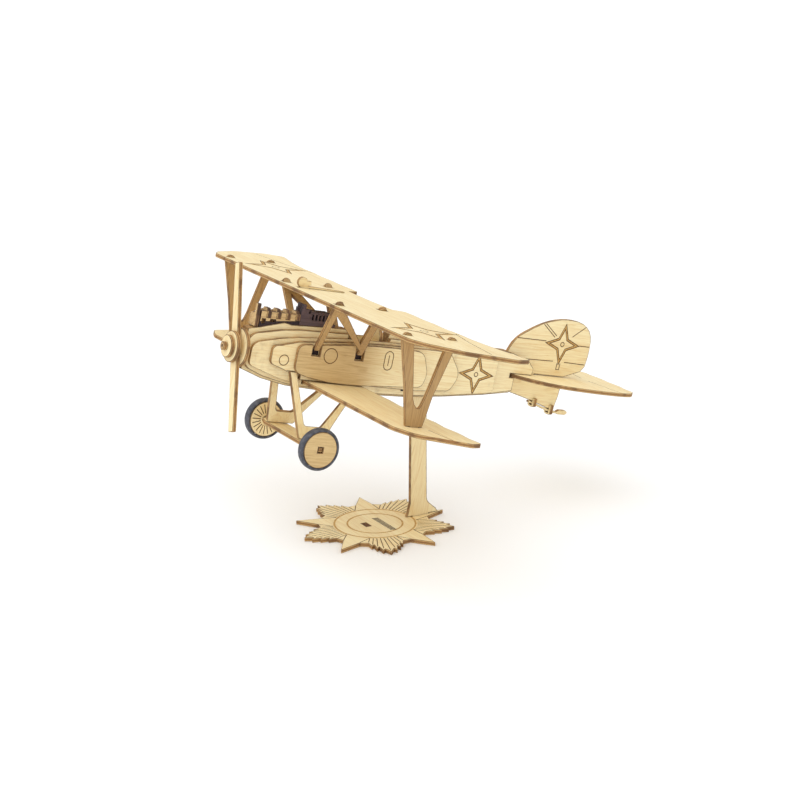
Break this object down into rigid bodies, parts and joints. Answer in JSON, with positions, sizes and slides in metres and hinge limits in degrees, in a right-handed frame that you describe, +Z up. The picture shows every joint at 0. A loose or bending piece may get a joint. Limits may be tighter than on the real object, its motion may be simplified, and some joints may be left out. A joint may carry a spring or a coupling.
{
  "type": "biplane scale model",
  "caption": "Layered plywood display model of a V-strut biplane, nose-up on a star-shaped stand, with a propeller and two wheels that turn.",
  "frame": {"origin": "middle of the stand's star plate, on its underside", "axes": "+X to the aircraft's port side, +Y towards its tail, +Z up"},
  "size_m": [0.2346, 0.2199, 0.137],
  "materials": {
    "plywood": "satin",
    "plywood_pale": "satin",
    "plywood_dark": "satin",
    "engraved_dark": "matt",
    "dowel": "satin",
    "rubber": "matt"
  },
  "bodies": {
    "stand": {"stand_base": "plywood", "stand_column": "plywood"},
    "airframe": {"fuselage_core": "plywood", "fuselage_layer1_port": "plywood", "fuselage_layer1_starboard": "plywood", "fuselage_layer2_port": "plywood", "fuselage_layer2_starboard": "plywood", "fuselage_layer3_port": "plywood", "fuselage_layer3_starboard": "plywood", "fuselage_layer4_port": "plywood", "fuselage_layer4_starboard": "plywood", "fuselage_layer5_port": "plywood", "fuselage_layer5_starboard": "plywood", "nose_bearing_front": "plywood", "nose_bearing_rear": "plywood", "instrument_panel": "plywood", "pilot_seat": "plywood", "pilot_seat_back": "plywood", "wing_header_plate": "plywood", "interplane_strut_port": "plywood", "interplane_strut_starboard": "plywood", "cabane_strut_port": "plywood", "cabane_strut_starboard": "plywood", "gear_strut_port": "plywood", "gear_strut_starboard": "plywood", "axle_fairing": "plywood", "fin_rudder": "plywood", "skid_clamp_front": "plywood", "skid_clamp_rear": "plywood", "engine_rail_port": "plywood_dark", "engine_rail_starboard": "plywood_dark", "engine_rib_1": "plywood_dark", "engine_rib_2": "plywood_dark", "engine_rib_3": "plywood_dark", "engine_rib_4": "plywood_dark", "engine_front_plate": "plywood_dark", "gun_bridge": "plywood_dark", "headrest": "plywood_dark", "tail_skid": "plywood_dark", "gun_port": "engraved_dark", "gun_starboard": "engraved_dark", "upper_wing": "plywood_pale", "lower_wing": "plywood_pale", "tailplane": "plywood_pale"},
    "propeller": {"propeller_shaft": "dowel", "shaft_collar": "dowel", "spinner_button": "plywood", "spinner_disc_front": "plywood", "spinner_disc_middle": "plywood", "propeller": "plywood", "spinner_disc_back": "plywood"},
    "wheel_port": {"wheel_inner_disc_port": "plywood", "wheel_cover_disc_port": "plywood", "tyre_port": "rubber"},
    "wheel_starboard": {"wheel_inner_disc_starboard": "plywood", "wheel_cover_disc_starboard": "plywood", "tyre_starboard": "rubber"}
  },
  "joints": [
    {"name": "lift_off_stand", "type": "slide", "parent": "stand", "child": "airframe", "axis": [0, 0, 1], "range_m": [0, 0.006]},
    {"name": "propeller_spin", "type": "hinge", "parent": "airframe", "child": "propeller", "pos_m": [0, -0.078, 0.102], "axis": [0, 0.9728, -0.2317], "continuous": true},
    {"name": "wheel_port_spin", "type": "hinge", "parent": "airframe", "child": "wheel_port", "pos_m": [0.0274, -0.04488, 0.05505], "axis": [1, 0, 0], "continuous": true},
    {"name": "wheel_starboard_spin", "type": "hinge", "parent": "airframe", "child": "wheel_starboard", "pos_m": [-0.0274, -0.04488, 0.05505], "axis": [1, 0, 0], "continuous": true}
  ]
}
